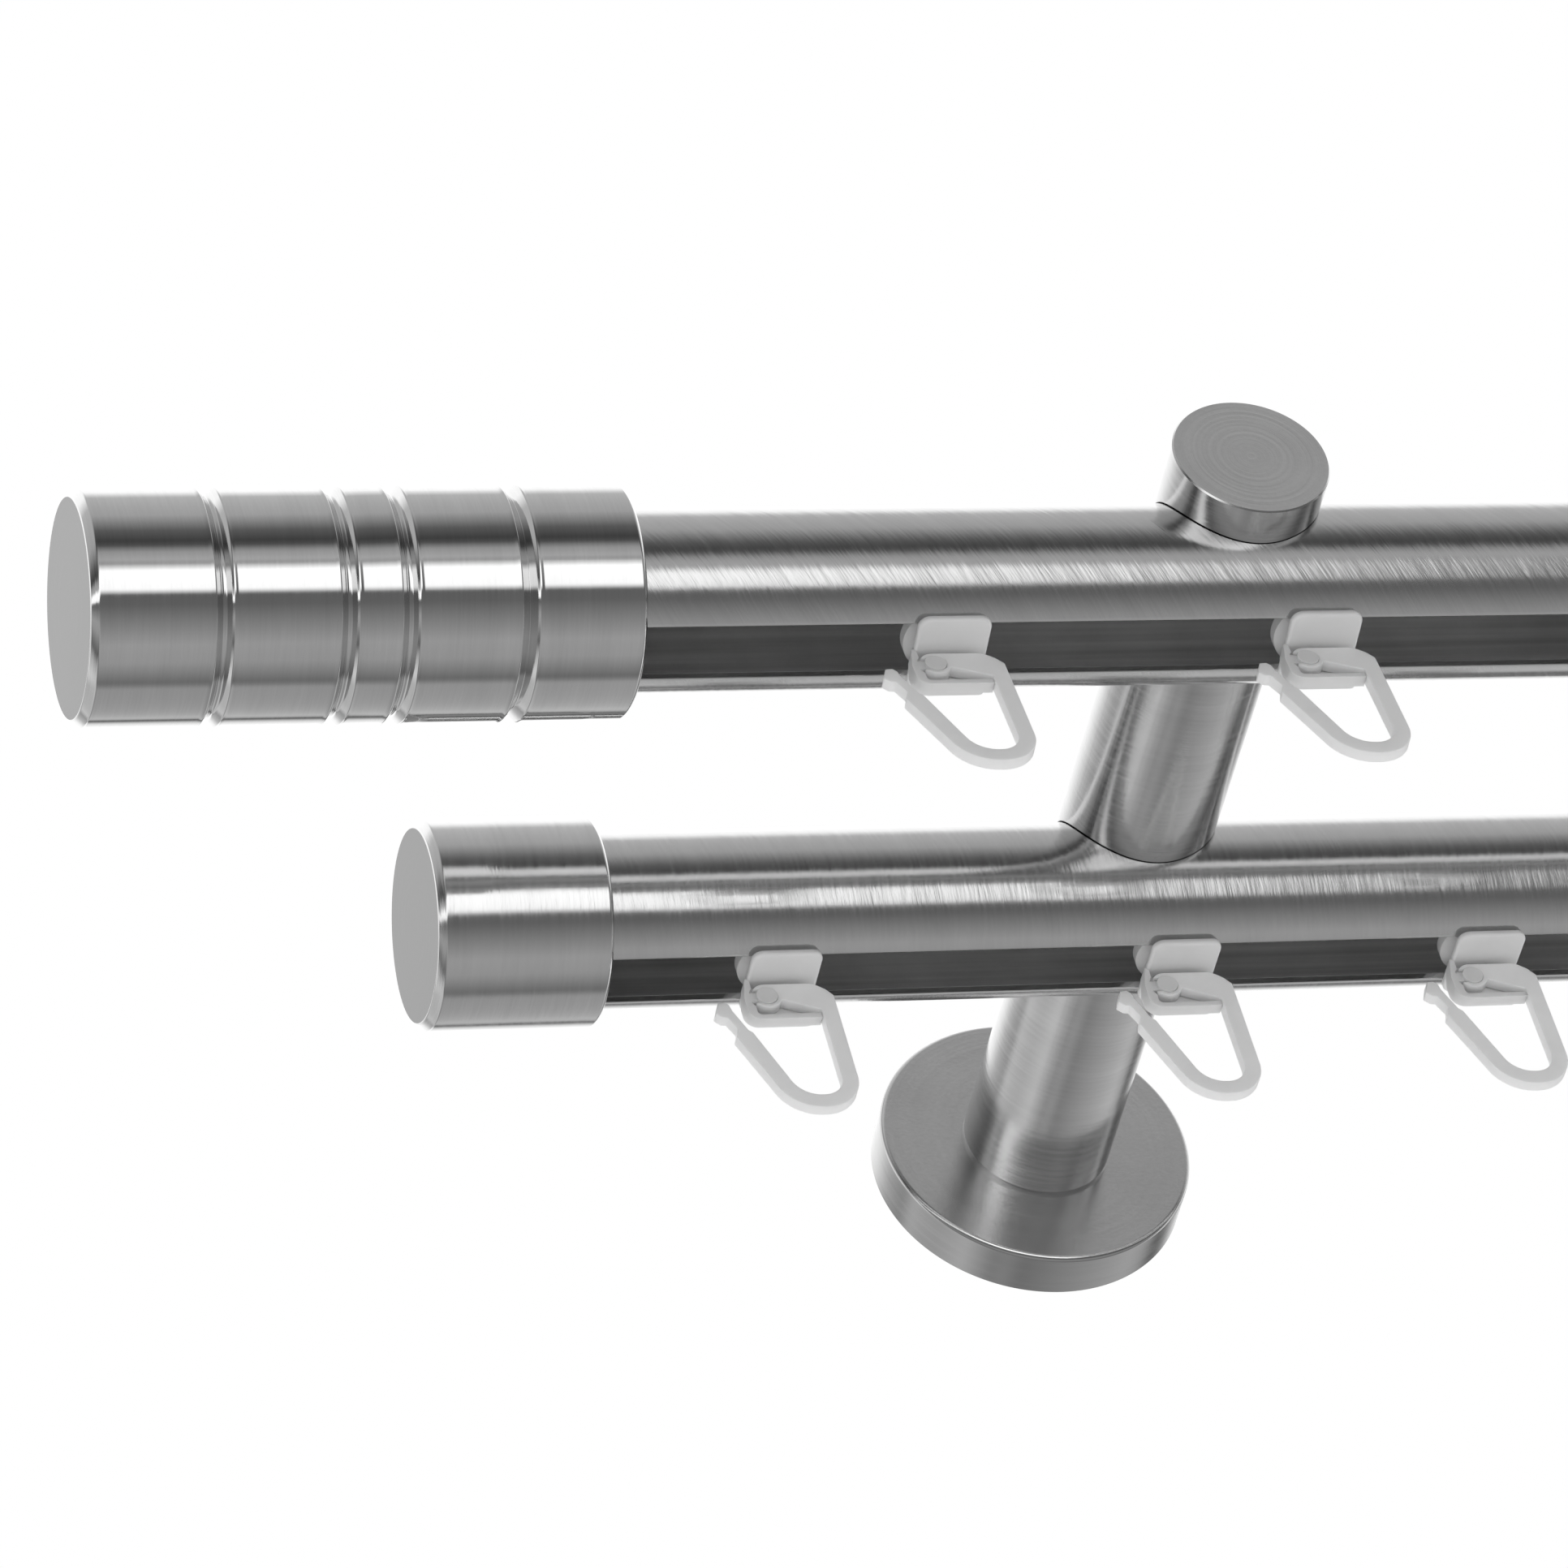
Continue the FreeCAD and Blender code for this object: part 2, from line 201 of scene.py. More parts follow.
class ScrewSettings(bpy.types.PropertyGroup):
    """Sizes and finish of the wall studs and set screws."""
    stud_pitch: length("Stud pitch", "Distance between the turns of a stud's threads", 1.25)
    stud_ridge: length("Stud ridge", "How far a stud's threads stand out from its core", 0.66)
    stud_point: length("Stud chamfer", "Chamfer at both ends of a stud", 0.2)
    stud_key: length("Stud key", "Width and depth of the hexagon socket in a stud", 4.0)
    arm_lead: length("Arm lead-in", "From a stud's inner end to its first thread", 0.3)
    wall_lead: length("Wall lead-in", "From the wall plane to a stud's second thread", 0.1)
    set_pitch: length("Set screw pitch", "Distance between the crests of a set screw's thread", 0.8)
    set_ridge: length("Set screw ridge", "Height of a set screw's thread", 0.4)
    seat_radius: length("Seat screw radius", "Radius of the set screws in the arms", 2.5)
    seat_key: length("Seat screw key", "Width of the socket of the set screws in the arms", 2.5)
    end_radius: length("End screw radius", "Radius of the set screws in the end pieces", 2.0)
    end_key: length("End screw key", "Width of the socket of the set screws in the end pieces", 2.0)
    end_inset: length("End screw inset", "From an end piece's open end to its set screw", 7.0)
    thread_steps: count("Thread steps", "Steps round one turn of a stud's thread", 24)
    steps: count("Steps", "Steps round a stud's core or a set screw", 48)
    zinc: colour("Zinc", "Colour of the plated studs and screws", (0.52, 0.52, 0.5))
    stud_roughness: share("Stud roughness", "Roughness of the wall studs", 0.3)
    set_roughness: share("Set screw roughness", "Roughness of the set screws", 0.32)


class RunnerSettings(bpy.types.PropertyGroup):
    """Finish of the runners and hooks."""
    soft: length("Moulded edge", "Rounding of the moulded edges", 0.12)
    runner: colour("Runner plastic", "Colour of the runners", (0.75, 0.75, 0.75))
    # The hook plastic is the pale plastic of the runners made paler: painted light on the hooks.
    hook: colour("Hook plastic with painted light", "Colour of the hooks", (0.9, 0.9, 0.9))
    roughness: share("Plastic roughness", "Roughness of the mouldings", 0.42)


class StageSettings(bpy.types.PropertyGroup):
    """Camera, floor and light."""
    sensor: FloatProperty(name="Sensor", description="Width of the camera's sensor, in millimetres",
                          default=36.0, min=1.0)
    lens: FloatProperty(name="Lens", description="Focal length, in millimetres", default=170.82,
                        min=10.0, max=400.0)
    floor_height: FloatProperty(name="Floor height", description="Height of the floor above the wall fixing",
                                default=-8.0, unit="LENGTH", subtype="DISTANCE")
    floor_radius: FloatProperty(name="Floor radius", description="Radius of the round floor", default=80.0,
                                min=1.0, unit="LENGTH", subtype="DISTANCE")
    floor_steps: count("Floor steps", "Steps round the floor", 96)
    view_start: length("View start", "Where the camera starts to see", 10.0)
    view_end: FloatProperty(name="View end", description="How far the camera sees", default=200.0,
                            min=1.0, unit="LENGTH", subtype="DISTANCE")
    floor: colour("Floor colour", "Colour of the pale floor", (0.93, 0.93, 0.93))
    backdrop: share("Backdrop", "Brightness of the white behind the object", 1.0)


def linked(bm, name):
    """Puts a bmesh into the scene as an object and frees it."""
    mesh = bpy.data.meshes.new(name)
    bm.to_mesh(mesh)
    bm.free()
    thing = bpy.data.objects.new(name, mesh)
    bpy.context.scene.collection.objects.link(thing)
    return thing


def finished(bm, name, materials, body, nodes, sharp=35.0):
    """Turns a bmesh into a piece that stands for CAD nodes and rides on their body."""
    bmesh.ops.remove_doubles(bm, verts=bm.verts, dist=MERGE_GAP)
    bmesh.ops.recalc_face_normals(bm, faces=bm.faces)
    piece = linked(bm, name)
    for material in materials:
        piece.data.materials.append(material)
    piece.data.shade_smooth()
    piece.data.set_sharp_from_angle(angle=math.radians(sharp))
    even = piece.modifiers.new("even_shading", "WEIGHTED_NORMAL")
    even.weight = 100
    even.keep_sharp = True
    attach(piece, body)
    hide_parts(*nodes)


def add_lathe(bm, profile, start, turn, steps):
    """Spins (distance along, radius) pairs about a line from start. turn brings X onto that line."""
    matrix = Matrix.Translation(start) @ turn.to_matrix().to_4x4()
    verts = [bm.verts.new(matrix @ Vector((along, 0, radius))) for along, radius in profile]
    edges = [bm.edges.new(pair) for pair in zip(verts, verts[1:])]
    axis = matrix.to_3x3() @ Vector((1, 0, 0))
    bmesh.ops.spin(bm, geom=verts + edges, cent=start, axis=axis, angle=math.tau, steps=steps,
                   use_merge=True)
    bmesh.ops.remove_doubles(bm, verts=bm.verts, dist=MERGE_GAP)


def round_edges(bm, edges, width, segments):
    bmesh.ops.bevel(bm, geom=edges, offset=width, offset_type="OFFSET", affect="EDGES",
                    segments=segments, profile=0.5, clamp_overlap=True, material=-1)


def soften(bm, width, angle=SOFT_ANGLE):
    """Rounds every edge that turns by more than the angle, in degrees."""
    sharp = [e for e in bm.edges if len(e.link_faces) == 2 and e.calc_face_angle(0) > math.radians(angle)]
    round_edges(bm, sharp, width, segments=2)


def middle(node):
    low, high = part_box(node)
    return (low + high) / 2


class Tree:
    """Adds linked nodes to a node tree."""

    def __init__(self, tree):
        self.tree = tree

    def put(self, socket, value):
        """Gives an input its value, or links it where the value is an output."""
        if isinstance(value, bpy.types.NodeSocket):
            self.tree.links.new(value, socket)
        else:
            socket.default_value = value

    def node(self, kind, inputs=None, **settings):
        """Adds a node, with its inputs by name or number."""
        made = self.tree.nodes.new(kind)
        for name, value in settings.items():
            setattr(made, name, value)
        for key, value in (inputs or {}).items():
            self.put(made.inputs[key], value)
        return made

    def math(self, operation, first, second=0.0):
        return self.node("ShaderNodeMath", {0: first, 1: second}, operation=operation).outputs[0]

    def split(self, vector):
        """The X, Y and Z of a vector."""
        return self.node("ShaderNodeSeparateXYZ", {0: vector}).outputs

    def combine(self, x, y, z=0.0):
        return self.node("ShaderNodeCombineXYZ", {0: x, 1: y, 2: z}).outputs[0]

    def remap(self, value, low, high, start=0.0, end=1.0, kind="LINEAR"):
        """Goes from low to high while value goes from start to end."""
        inputs = {"Value": value, "From Min": start, "From Max": end, "To Min": low, "To Max": high}
        return self.node("ShaderNodeMapRange", inputs, interpolation_type=kind).outputs["Result"]

    def mix(self, factor, first, second, blend="MIX"):
        """Blends two colours."""
        return self.node("ShaderNodeMix", {"Factor": factor, "A": first, "B": second}, data_type="RGBA",
                         blend_type=blend).outputs["Result"]

    def noise(self, place, scale, detail=2.0, roughness=0.5, distortion=0.0):
        inputs = {"Vector": place, "Scale": scale, "Detail": detail, "Roughness": roughness,
                  "Distortion": distortion}
        return self.node("ShaderNodeTexNoise", inputs).outputs["Fac"]


class Shader(Tree):
    """A material and its nodes."""

    def __init__(self, name):
        self.material = bpy.data.materials.new(name)
        self.material.use_nodes = True
        super().__init__(self.material.node_tree)
        self.place = self.node("ShaderNodeTexCoord").outputs["Object"]

    def surface(self, inputs):
        """Sets inputs of the material's surface, by name."""
        for name, value in inputs.items():
            self.put(self.tree.nodes["Principled BSDF"].inputs[name], value)

    def axes(self, centre, turn):
        """Distance along a piece's axis, the two distances across it and the distance out from it."""
        inputs = {"Vector": self.place, "Location": centre, "Rotation": turn}
        x, y, z = self.split(self.node("ShaderNodeMapping", inputs, vector_type="TEXTURE").outputs[0])
        squares = self.math("ADD", self.math("MULTIPLY", y, y), self.math("MULTIPLY", z, z))
        return x, y, z, self.math("SQRT", squares)

    def tint(self, value, base, contrast):
        """Base colour that gets darker and lighter by the contrast as value goes from 0 to 1."""
        dark, light = ((*[min(1.0, part * gain) for part in base[:3]], 1.0)
                       for gain in (1 - contrast, 1 + contrast))
        self.surface({"Base Color": self.mix(value, dark, light)})

    def relief(self, low_value, low_depth, value, depth):
        """A fine relief laid over a low one, with both depths in millimetres."""
        low = self.node("ShaderNodeBump", {"Height": low_value, "Distance": low_depth * MM})
        fine = self.node("ShaderNodeBump", {"Height": value, "Distance": depth * MM,
                                            "Normal": low.outputs["Normal"]})
        self.surface({"Normal": fine.outputs["Normal"]})


def machined_steel(name, base, roughness, centre, turn, fineness, streak=0.08, depth=0.01, contrast=0.2,
                   slant=0.0, radius=0.0):
    """Steel with tool marks round an axis: fineness of them to the metre, depth in millimetres.

    A slant tilts the marks on a round piece of that radius, as a belt grinder does.
    """
    shader = Shader(name)
    x, y, z, out = shader.axes(centre, turn)
    rings = shader.math("ADD", x, out)
    if slant:
        angle = shader.math("ARCTAN2", y, z)
        rings = shader.math("ADD", rings, shader.math("MULTIPLY", angle, slant * radius))

    def marks(along, across, detail):
        place = shader.combine(shader.math("MULTIPLY", rings, along), shader.math("MULTIPLY", y, across),
                               shader.math("MULTIPLY", z, across))
        return shader.noise(place, 1.0, detail, roughness=0.6)

    fine = marks(fineness, fineness * streak, detail=3.0)
    broad = marks(fineness * BROAD_FINENESS, fineness * streak * BROAD_STREAK, detail=2.0)
    shader.tint(shader.math("MULTIPLY", shader.math("ADD", fine, broad), 0.5), base, contrast)
    shader.surface({"Metallic": 1.0, "Roughness": shader.remap(fine, roughness * 0.5, roughness * 1.6)})
    shader.relief(broad, depth * BROAD_DEPTH, fine, depth)
    return shader.material


def satin_steel(name, base, roughness, centre, turn, fineness, rings=0.2, metal=1.0, drawn=False):
    """Dull steel with a fine grain and faint lines, round the axis or along it where it is drawn."""
    shader = Shader(name)
    x, y, z, out = shader.axes(centre, turn)
    stretched = fineness * 0.02
    if drawn:
        place = shader.combine(shader.math("MULTIPLY", x, stretched), shader.math("MULTIPLY", y, fineness),
                               shader.math("MULTIPLY", z, fineness))
    else:
        place = shader.combine(shader.math("MULTIPLY", shader.math("ADD", x, out), fineness),
                               shader.math("MULTIPLY", y, stretched))
    lines = shader.remap(shader.noise(place, 1.0, detail=3.0), -0.6, 1.6)
    grain = shader.noise(shader.place, 2600.0, detail=3.0, roughness=0.7)
    cloud = shader.noise(shader.place, 90.0)
    mixed = shader.math("ADD", shader.math("MULTIPLY", cloud, 0.5),
                        shader.math("MULTIPLY", grain, 0.5 - rings / 2))
    mixed = shader.math("ADD", mixed, shader.math("MULTIPLY", lines, rings / 2))
    shader.tint(mixed, base, 0.1 + 0.5 * rings)
    shader.surface({"Metallic": metal, "Roughness": shader.remap(mixed, roughness * 0.85, roughness * 1.2)})
    shader.relief(lines, 0.03 * rings, grain, 0.008)
    return shader.material


def moulded_plastic(name, base, roughness):
    """Pale, slightly translucent moulding with flow clouds and a fine mould grain."""
    shader = Shader(name)
    grain = shader.noise(shader.place, 2200.0)
    flow = shader.noise(shader.place, 160.0, detail=3.0, distortion=1.2)
    shader.tint(flow, base, 0.05)
    shader.surface({
        "Subsurface Weight": 0.7, "Subsurface Radius": (1.0, 1.0, 1.0), "Subsurface Scale": 1.2 * MM,
        "Specular IOR Level": 0.35, "Roughness": shader.remap(grain, roughness * 0.9, roughness * 1.15),
    })
    shader.relief(flow, 0.03, grain, 0.006)
    return shader.material


class CURTAIN_OT_poles(bpy.types.Operator):
    """Make the two slotted steel tubes"""
    bl_idname = "curtain.poles"
    bl_label = "Slotted poles"

    def arc(self, bm, centre, radius, look):
        """Edge chain round the tube's axis, from one lip to the other over the top. Returns its ends."""
        first = len(bm.verts)
        half_slot = look.slot / 2
        gap = math.asin(half_slot / radius)
        start = bm.verts.new(centre + Vector((0, half_slot, -radius * math.cos(gap))))
        bmesh.ops.spin(bm, geom=[start], cent=centre, axis=(1, 0, 0), angle=math.tau - 2 * gap,
                       steps=look.steps)
        bm.verts.ensure_lookup_table()
        return [v for v in bm.verts[first:] if len(v.link_edges) == 1]

    def execute(self, context):
        look = context.scene.curtain_poles
        for word, turn, slant in (("front", look.front_turn, look.front_slant),
                                  ("rear", 0.0, look.rear_slant)):
            node = word + "_pole"
            low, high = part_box(node)
            centre = Vector((low.x, (low.y + high.y) / 2, high.z - look.radius))
            bm = bmesh.new()
            outer = self.arc(bm, centre, look.radius, look)
            inner = self.arc(bm, centre, look.radius - look.wall, look)
            for end in outer:
                bm.edges.new((end, min(inner, key=lambda v: (v.co - end.co).length)))
            section = bmesh.ops.contextual_create(bm, geom=bm.edges[:])["faces"]
            far = bmesh.ops.extrude_face_region(bm, geom=section, use_keep_orig=True)["geom"]
            moved = [v for v in far if isinstance(v, bmesh.types.BMVert)]
            bmesh.ops.translate(bm, verts=moved, vec=Vector((high.x - low.x, 0, 0)))
            bmesh.ops.recalc_face_normals(bm, faces=bm.faces)
            lips = [e for e in bm.edges if abs(e.verts[0].co.x - e.verts[1].co.x) > look.radius
                    and e.calc_face_angle(0) > math.radians(LIP_ANGLE)]
            round_edges(bm, lips, look.lip_round, segments=3)
            inside = look.radius - look.wall * 0.55  # the rounded lips keep the outer finish
            for face in bm.faces:
                spot = face.calc_center_median() - centre
                if math.hypot(spot.y, spot.z) < inside:
                    face.material_index = 1
            bmesh.ops.rotate(bm, verts=bm.verts, cent=centre, matrix=Matrix.Rotation(turn, 3, "X"))
            ground = machined_steel(word + " tube ground steel", look.steel, look.roughness, centre, ALONG_X,
                                    fineness=2600.0, streak=0.1, depth=0.014, contrast=0.12,
                                    slant=slant, radius=look.radius)
            dull = satin_steel(word + " tube dull inside", look.bore, 0.4, centre, ALONG_X, fineness=900.0,
                               rings=0.8, metal=0.3, drawn=True)
            finished(bm, node + "_tube", [ground, dull], ROOT, [node])
        return {"FINISHED"}


def turned_end(node, look, sleeve, grooves, side):
    """One finial or end cap, spun from its outer face to its open end, and its centre."""
    low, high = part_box(node)
    radius = (high.z - low.z) / 2
    span = high.x - low.x
    floor = span - sleeve
    profile = [(0, 0), (0, radius - look.edge), (look.edge, radius)]
    for place in grooves:
        near, far = place - look.groove, place + look.groove
        profile += [(near - look.burr_slope, radius), (near, radius + look.burr),
                    (place, radius - look.groove), (far, radius + look.burr),
                    (far + look.burr_slope, radius)]
    profile += [(span - look.inner_edge, radius), (span, radius - look.inner_edge), (span, look.bore),
                (floor, look.bore), (floor, 0)]
    centre = (low + high) / 2
    start = Vector((low.x if side < 0 else high.x, centre.y, centre.z))
    bm = bmesh.new()
    add_lathe(bm, profile, start, ALONG_X if side < 0 else AGAINST_X, look.steps)
    bmesh.ops.recalc_face_normals(bm, faces=bm.faces)

    def in_valley(vert):
        out = math.hypot(vert.co.y - start.y, vert.co.z - start.z)
        return abs(out - radius + look.groove) < RADIUS_GAP and abs(vert.co.x - start.x) < floor

    valleys = [e for e in bm.edges if all(in_valley(v) for v in e.verts)]
    round_edges(bm, valleys, look.valley, segments=5)
    soften(bm, look.soft)
    for face in bm.faces:
        if abs(face.calc_center_median().x - start.x) < PLANE_GAP:
            face.material_index = 1
    return bm, centre


class CURTAIN_OT_ends(bpy.types.Operator):
    """Make the grooved finials and the plain end caps"""
    bl_idname = "curtain.ends"
    bl_label = "Finials and end caps"

    def execute(self, context):
        look = context.scene.curtain_ends
        grooves = [place * MM for place in GROOVE_PLACES]
        kinds = (
            ("finial", look.sleeve_finial, grooves,
             {"roughness": look.roughness, "fineness": 3000.0, "streak": 0.05, "depth": 0.004}),
            ("end_cap", look.sleeve_cap, [],
             {"roughness": look.cap_roughness, "fineness": 1500.0, "streak": 0.09, "depth": 0.02}),
        )
        for word, side in SIDES:
            for kind, sleeve, places, marks in kinds:
                node = word + "_" + kind
                bm, centre = turned_end(node, look, sleeve, places, side)
                steel = machined_steel(node + " turned steel", look.steel, centre=centre, turn=ALONG_X,
                                       contrast=0.14, **marks)
                # The flat outer face takes the end steel made darker: painted shade.
                face = satin_steel(node + " satin face with painted shade", look.face, 0.42, centre, ALONG_X, fineness=900.0)
                finished(bm, node + "_turning", [steel, face], ROOT, [node])
        return {"FINISHED"}


def add_rod(name, start, turn, span, radius, steps, nose=0.0, foot=0.0):
    """A plain rod as an object of its own, with a chamfer round each end where that isn't 0."""
    profile = [(0, 0), (0, radius - nose), (nose, radius), (span - foot, radius), (span, radius - foot),
               (span, 0)]
    if not nose:
        profile = [(0, 0), (0, radius), (span, radius), (span, 0)]
    bm = bmesh.new()
    add_lathe(bm, profile, start, turn, steps)
    bmesh.ops.recalc_face_normals(bm, faces=bm.faces)
    return linked(bm, name)


class CURTAIN_OT_arms(bpy.types.Operator):
    """Make the turned bracket arms with their milled seats"""
    bl_idname = "curtain.arms"
    bl_label = "Bracket arms"

    def execute(self, context):
        look = context.scene.curtain_brackets
        tube = context.scene.curtain_poles
        for word, _ in SIDES:
            node = word + "_arm"
            low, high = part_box(node)
            centre = (low + high) / 2
            radius = (high.x - low.x) / 2
            blank = add_rod("arm_blank", Vector((centre.x, low.y, centre.z)), ALONG_Y, high.y - low.y, radius,
                            look.steps, look.arm_edge, look.arm_foot)
            cutters = []
            for pole in ("front_pole", "rear_pole"):
                pole_y, pole_top = middle(pole).y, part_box(pole)[1].z
                seat = Vector((low.x - radius, pole_y, pole_top - tube.radius))
                head = Vector((centre.x, seat.y, seat.z))
                cutters.append(add_rod("seat_cutter", seat, ALONG_X, radius * 4, look.seat, look.seat_steps))
                cutters.append(add_rod("screw_cutter", head, ALONG_Z, radius * 3, look.screw_bore,
                                       look.bore_steps))
            hole = Vector((centre.x, high.y - look.stud_depth, centre.z))
            cutters.append(add_rod("stud_cutter", hole, ALONG_Y, look.stud_depth * 2, look.stud_bore,
                                   look.bore_steps))
            for cutter in cutters:
                cut = blank.modifiers.new("cut", "BOOLEAN")
                cut.operation = "DIFFERENCE"
                cut.solver = "EXACT"
                cut.object = cutter
            bm = bmesh.new()
            bm.from_object(blank, context.evaluated_depsgraph_get())
            for thing in cutters + [blank]:
                bpy.data.objects.remove(thing)
            for face in bm.faces:
                if face.normal.dot(WALLWARD) < -0.99:  # the flat nose
                    face.material_index = 1
            steel = machined_steel(node + " turned steel", look.steel, look.roughness, centre, ALONG_Y,
                                   fineness=1900.0, streak=0.05)
            # The nose takes the rosette steel, which is made paler with painted light.
            nose = satin_steel(node + " turned nose with painted light", look.satin, 0.38, centre, ALONG_Y, fineness=2200.0,
                               rings=0.45)
            finished(bm, node + "_rod", [steel, nose], ROOT, [node], sharp=28.0)
        return {"FINISHED"}


class CURTAIN_OT_rosettes(bpy.types.Operator):
    """Make the wall rosettes"""
    bl_idname = "curtain.rosettes"
    bl_label = "Rosettes"

    def execute(self, context):
        look = context.scene.curtain_brackets
        for word, _ in SIDES:
            node = word + "_rosette"
            low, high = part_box(node)
            centre = (low + high) / 2
            radius = (high.x - low.x) / 2
            thick = high.y - low.y
            floor = thick - look.recess_depth
            profile = [(0, look.stud_bore), (0, radius), (thick, radius), (thick, look.recess),
                       (floor, look.recess), (floor, look.stud_bore), (0, look.stud_bore)]
            bm = bmesh.new()
            add_lathe(bm, profile, Vector((centre.x, low.y, centre.z)), ALONG_Y, look.disc_steps)
            bmesh.ops.recalc_face_normals(bm, faces=bm.faces)

            def on_front_rim(vert):
                out = math.hypot(vert.co.x - centre.x, vert.co.z - centre.z)
                return abs(vert.co.y - low.y) < PLANE_GAP and out > look.recess

            rim = [e for e in bm.edges if all(on_front_rim(v) for v in e.verts)
                   and e.calc_face_angle(0) > math.radians(SOFT_ANGLE)]
            round_edges(bm, rim, look.rim_round, segments=5)
            soften(bm, look.soft, angle=LIP_ANGLE)
            for face in bm.faces:
                spot = face.calc_center_median() - centre
                if math.hypot(spot.x, spot.z) > radius - look.rim_depth:
                    face.material_index = 1
            # Satin steel made paler than its own colour: painted light on the rosette's face.
            satin = satin_steel(node + " satin steel with painted light", look.satin, 0.22, centre, ALONG_Y, fineness=900.0)
            turned = machined_steel(node + " turned rim", look.rim, look.roughness, centre, ALONG_Y,
                                    fineness=1500.0, streak=0.04)
            finished(bm, node + "_disc", [satin, turned], ROOT, [node])
        return {"FINISHED"}


def add_thread(bm, start, radius, pitch, span, steps):
    """Ridges of a stud's thread: a trapezium spun round the stud and moved along it towards the wall."""
    across = WALLWARD.orthogonal().normalized()
    height = pitch * RIDGE_HEIGHT
    verts = [bm.verts.new(start + WALLWARD * pitch * along + across * (radius - height * (1 - out)))
             for along, out in RIDGE_CORNERS]
    edges = [bm.edges.new(pair) for pair in zip(verts, verts[1:] + verts[:1])]
    turns = int(span / pitch) - 1
    made = bmesh.ops.spin(bm, geom=verts + edges, cent=start, axis=WALLWARD, angle=math.tau * turns,
                          steps=steps * turns, dvec=WALLWARD * (pitch / steps))
    for end in (edges, [e for e in made["geom_last"] if isinstance(e, bmesh.types.BMEdge)]):
        bmesh.ops.contextual_create(bm, geom=end)


def add_socket(bm, rim, centre, outward, key, depth):
    """Closes a round rim with a flat face that has a hexagon socket in it."""
    matrix = Matrix.Translation(centre) @ UP.rotation_difference(outward).to_matrix().to_4x4()
    corner_radius = key / 2 / math.cos(math.pi / 6)
    corners = bmesh.ops.create_circle(bm, segments=6, radius=corner_radius, matrix=matrix)["verts"]
    edges = list({e for v in corners for e in v.link_edges})
    bmesh.ops.bridge_loops(bm, edges=rim + edges)
    walls = bmesh.ops.extrude_edge_only(bm, edges=edges)["geom"]
    floor = [v for v in walls if isinstance(v, bmesh.types.BMVert)]
    bmesh.ops.translate(bm, verts=floor, vec=outward * -depth)
    bmesh.ops.contextual_create(bm, geom=floor)


class CURTAIN_OT_studs(bpy.types.Operator):
    """Make the wall studs with their two threads"""
    bl_idname = "curtain.studs"
    bl_label = "Wall studs"

    def execute(self, context):
        look = context.scene.curtain_screws
        recess = context.scene.curtain_brackets.recess_depth
        for word, _ in SIDES:
            node = word + "_wall_stud"
            low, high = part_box(node)
            centre = (low + high) / 2
            radius = (high.x - low.x) / 2
            core, point, span = radius - look.stud_ridge, look.stud_point, high.y - low.y
            profile = [(0, 0), (0, core - point), (point, core), (span - point, core), (span, core - point)]
            start = Vector((centre.x, low.y, centre.z))
            bm = bmesh.new()
            add_lathe(bm, profile, start, ALONG_Y, look.steps)
            rim = [e for e in bm.edges if e.is_boundary]
            add_socket(bm, rim, start + WALLWARD * span, WALLWARD, look.stud_key, look.stud_key)
            # One thread goes into the arm, the other into the wall.
            for first, reach in ((low.y + look.arm_lead, -low.y - recess), (look.wall_lead, high.y)):
                add_thread(bm, Vector((centre.x, first, centre.z)), radius, look.stud_pitch, reach,
                           look.thread_steps)
            zinc = machined_steel(node + " zinc", look.zinc, look.stud_roughness, centre, ALONG_Y,
                                  fineness=1200.0)
            finished(bm, node + "_threads", [zinc], ROOT, [node])
        return {"FINISHED"}


def add_set_screw(bm, head, radius, span, key, look):
    """Threaded set screw that points down from head, with a hexagon socket in its top."""
    crests = round(span / look.set_pitch)
    pitch = span / crests
    root = radius - look.set_ridge
    profile = [(0, 0), (0, root)]
    for number in range(crests):
        along = number * pitch
        profile += [(along + pitch * 0.4, radius), (along + pitch * 0.6, radius), (along + pitch, root)]
    before = set(bm.edges)
    add_lathe(bm, profile, head - UP * span, ALONG_Z, look.steps)
    rim = [e for e in bm.edges if e not in before and e.is_boundary]
    add_socket(bm, rim, head, UP, key, span * 0.5)


class CURTAIN_OT_screws(bpy.types.Operator):
    """Make the socket set screws in the arms and in the end pieces"""
    bl_idname = "curtain.screws"
    bl_label = "Set screws"

    def execute(self, context):
        look = context.scene.curtain_screws
        front, rear = middle("front_pole").y, middle("rear_pole").y
        seats, ends = [], []
        for word, side in SIDES:
            for kind, y in (("finial", front), ("end_cap", rear)):
                low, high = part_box(word + "_" + kind)
                inner = high.x if side < 0 else low.x
                seats.append((side * middle("right_arm").x, y))
                ends.append((inner + side * look.end_inset, y))
        zinc = machined_steel("set screw zinc", look.zinc, look.set_roughness, Vector((0, 0, 0)), ALONG_Z,
                              fineness=2000.0)
        for kind, places, radius, key in (("seat", seats, look.seat_radius, look.seat_key),
                                          ("end", ends, look.end_radius, look.end_key)):
            node = kind + "_screws"
            low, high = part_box(node)
            bm = bmesh.new()
            for x, y in places:
                add_set_screw(bm, Vector((x, y, high.z)), radius, high.z - low.z, key, look)
            finished(bm, kind + "_set_screws", [zinc], ROOT, [node])
        return {"FINISHED"}


def finish_mouldings(kind, material, soft):
    """Merged copies of the runners or hooks, with their flat faces joined and their edges rounded."""
    for node in sorted(n for n in NODES if "_" + kind + "_" in n):
        bm = bmesh.new()
        bm.from_mesh(NODES[node].data)
        bmesh.ops.remove_doubles(bm, verts=bm.verts, dist=MOULD_GAP)
        bmesh.ops.dissolve_limit(bm, angle_limit=math.radians(FLAT_ANGLE), use_dissolve_boundaries=False,
                                 verts=bm.verts, edges=bm.edges)
        soften(bm, soft)
        finished(bm, node + "_moulding", [material], node, [node], sharp=40.0)


